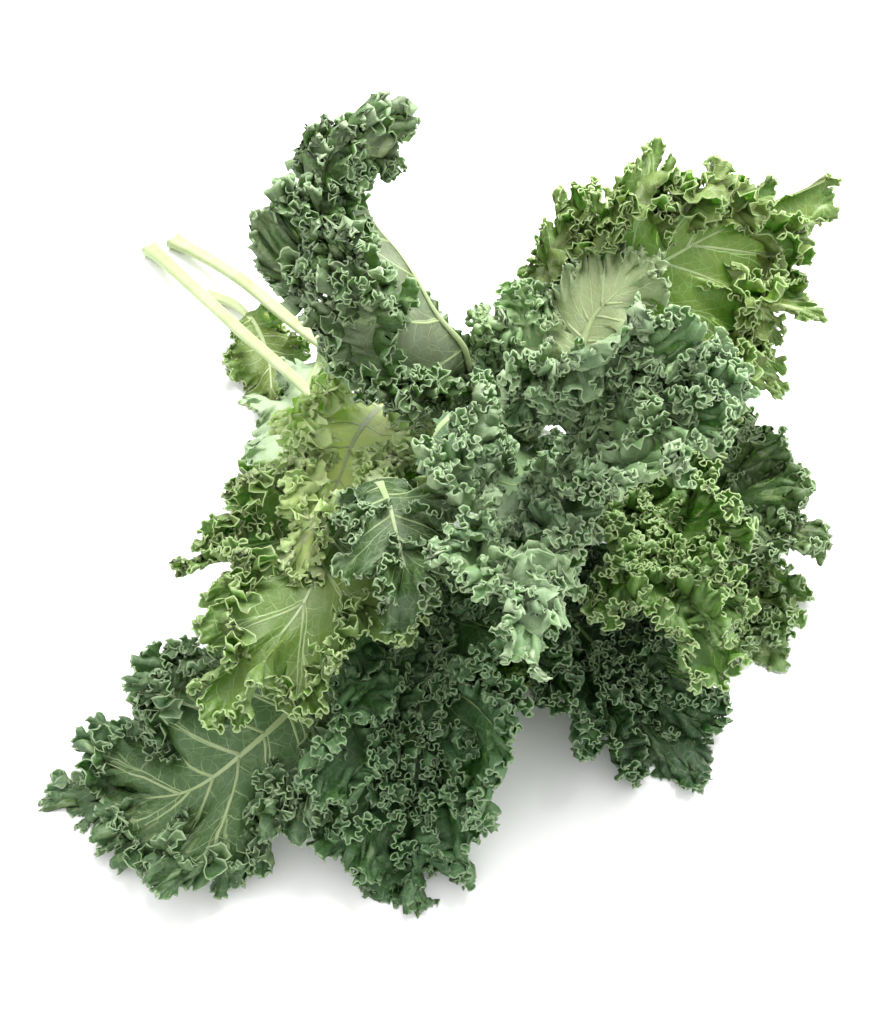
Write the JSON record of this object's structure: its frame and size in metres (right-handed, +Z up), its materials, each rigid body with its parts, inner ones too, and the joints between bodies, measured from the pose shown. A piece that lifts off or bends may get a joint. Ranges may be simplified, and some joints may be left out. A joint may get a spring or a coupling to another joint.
{
  "type": "kale bunch",
  "caption": "Loose bunch of curly kale lying on a surface, its long pale stalks to one side and its deeply ruffled leaves fanned out, the tallest curling back over.",
  "frame": {"origin": "middle of the bunch's box at the surface that it lies on", "axes": "+Z up from the surface, the shortest side of the bunch; +Y towards the cut ends of the stalks and along the longest side; +X to the right of the leaf fan seen from its front"},
  "size_m": [0.3512, 0.4178, 0.2123],
  "materials": {
    "leaf_bright": "matte, lit yellow-green blade with a faint waxy bloom",
    "leaf_mid": "matte mid green blade with a waxy grey-green underside",
    "leaf_dark": "matte dark blue-green blade with a waxy bloom",
    "stalk": "satin pale green stalk and midrib"
  },
  "bodies": {
    "root": {"blade_c": "leaf_bright", "stalk_c": "stalk", "blade_d": "leaf_mid", "stalk_d": "stalk", "blade_q": "leaf_bright", "stalk_q": "stalk", "blade_k": "leaf_mid", "stalk_k": "stalk", "blade_j": "leaf_bright", "stalk_j": "stalk", "blade_jb": "leaf_mid", "stalk_jb": "stalk", "blade_a": "leaf_mid", "stalk_a": "stalk", "blade_b": "leaf_bright", "stalk_b": "stalk", "blade_m": "leaf_mid", "stalk_m": "stalk", "blade_o": "leaf_dark", "stalk_o": "stalk", "blade_n": "leaf_dark", "stalk_n": "stalk", "blade_p": "leaf_dark", "stalk_p": "stalk", "blade_e": "leaf_dark", "stalk_e": "stalk", "blade_f": "leaf_mid", "stalk_f": "stalk", "blade_h": "leaf_dark", "stalk_h": "stalk", "blade_hb": "leaf_dark", "stalk_hb": "stalk", "blade_g": "leaf_dark", "stalk_g": "stalk", "blade_i": "leaf_dark", "stalk_i": "stalk", "blade_ib": "leaf_mid", "stalk_ib": "stalk"}
  },
  "joints": []
}
